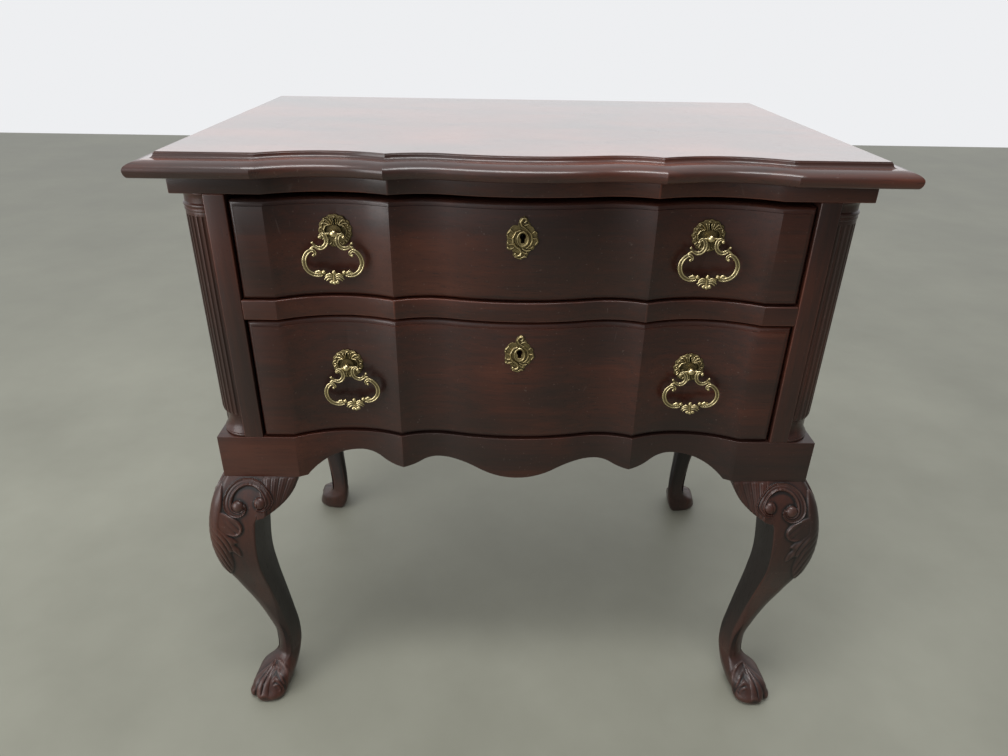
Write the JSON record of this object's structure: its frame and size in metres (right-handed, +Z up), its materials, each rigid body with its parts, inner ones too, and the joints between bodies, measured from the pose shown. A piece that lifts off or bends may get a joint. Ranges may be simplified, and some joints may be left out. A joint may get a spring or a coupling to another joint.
{
  "type": "lowboy",
  "caption": "Mahogany lowboy with a serpentine front, drawers with hanging bail pulls, quarter columns, a scalloped base and carved cabriole legs on paw feet.",
  "frame": {"origin": "on the floor, in the middle of the case's plan", "axes": "+X to the right as seen from the front, +Y to the back, +Z up"},
  "size_m": [0.775, 0.51, 0.762],
  "materials": {
    "mahogany": "satin lacquer",
    "inner_wood": "unfinished",
    "antique_brass": "antiqued, rubbed bright on the high parts",
    "screw_steel": "plain"
  },
  "bodies": {
    "case": {"top_board": "mahogany", "frieze_front": "mahogany", "frieze_left": "mahogany", "frieze_right": "mahogany", "divider_rail": "mahogany", "end_panel_left": "mahogany", "end_panel_right": "mahogany", "stile_left": "mahogany", "stile_right": "mahogany", "column_left": "mahogany", "column_right": "mahogany", "column_bases": "mahogany", "column_capitals": "mahogany", "leg_front_left": "mahogany", "leg_front_right": "mahogany", "leg_rear_left": "mahogany", "leg_rear_right": "mahogany", "knee_brackets_front_left": "mahogany", "knee_brackets_front_right": "mahogany", "knee_brackets_rear_left": "mahogany", "knee_brackets_rear_right": "mahogany", "base_front": "mahogany", "base_left": "mahogany", "base_right": "mahogany", "base_back": "mahogany", "top_cleats": "inner_wood", "back_panel": "inner_wood", "rear_posts": "inner_wood", "leg_dowels": "inner_wood", "drawer_runners": "inner_wood", "drawer_guides": "inner_wood", "drawer_stops": "inner_wood", "top_screws": "screw_steel"},
    "upper_drawer": {"upper_drawer_front": "mahogany", "upper_drawer_left_side": "inner_wood", "upper_drawer_right_side": "inner_wood", "upper_drawer_back": "inner_wood", "upper_drawer_bottom": "inner_wood", "upper_escutcheon": "antique_brass", "upper_pull_plates": "antique_brass", "upper_pull_posts": "antique_brass", "upper_lock_case": "antique_brass", "upper_drawer_fasteners": "screw_steel"},
    "upper_lock_bolt": {"upper_lock_bolt": "antique_brass"},
    "upper_left_bail": {"upper_left_bail": "antique_brass"},
    "upper_right_bail": {"upper_right_bail": "antique_brass"},
    "lower_drawer": {"lower_drawer_front": "mahogany", "lower_drawer_left_side": "inner_wood", "lower_drawer_right_side": "inner_wood", "lower_drawer_back": "inner_wood", "lower_drawer_bottom": "inner_wood", "lower_escutcheon": "antique_brass", "lower_pull_plates": "antique_brass", "lower_pull_posts": "antique_brass", "lower_lock_case": "antique_brass", "lower_drawer_fasteners": "screw_steel"},
    "lower_lock_bolt": {"lower_lock_bolt": "antique_brass"},
    "lower_left_bail": {"lower_left_bail": "antique_brass"},
    "lower_right_bail": {"lower_right_bail": "antique_brass"}
  },
  "joints": [
    {"name": "upper_drawer_slide", "type": "slide", "parent": "case", "child": "upper_drawer", "axis": [0, -1, 0], "range_m": [0, 0.3]},
    {"name": "upper_lock_bolt_slide", "type": "slide", "parent": "upper_drawer", "child": "upper_lock_bolt", "axis": [0, 0, 1], "range_m": [0, 0.013]},
    {"name": "upper_left_bail_hinge", "type": "hinge", "parent": "upper_drawer", "child": "upper_left_bail", "pos_m": [-0.19732, -0.22146, 0.68], "axis": [-1, 0, 0], "range_deg": [-7, 95]},
    {"name": "upper_right_bail_hinge", "type": "hinge", "parent": "upper_drawer", "child": "upper_right_bail", "pos_m": [0.19732, -0.22146, 0.68], "axis": [-1, 0, 0], "range_deg": [-7, 95]},
    {"name": "lower_drawer_slide", "type": "slide", "parent": "case", "child": "lower_drawer", "axis": [0, -1, 0], "range_m": [0, 0.3]},
    {"name": "lower_lock_bolt_slide", "type": "slide", "parent": "lower_drawer", "child": "lower_lock_bolt", "axis": [0, 0, 1], "range_m": [0, 0.013]},
    {"name": "lower_left_bail_hinge", "type": "hinge", "parent": "lower_drawer", "child": "lower_left_bail", "pos_m": [-0.19732, -0.22146, 0.5236], "axis": [-1, 0, 0], "range_deg": [-7, 95]},
    {"name": "lower_right_bail_hinge", "type": "hinge", "parent": "lower_drawer", "child": "lower_right_bail", "pos_m": [0.19732, -0.22146, 0.5236], "axis": [-1, 0, 0], "range_deg": [-7, 95]}
  ]
}
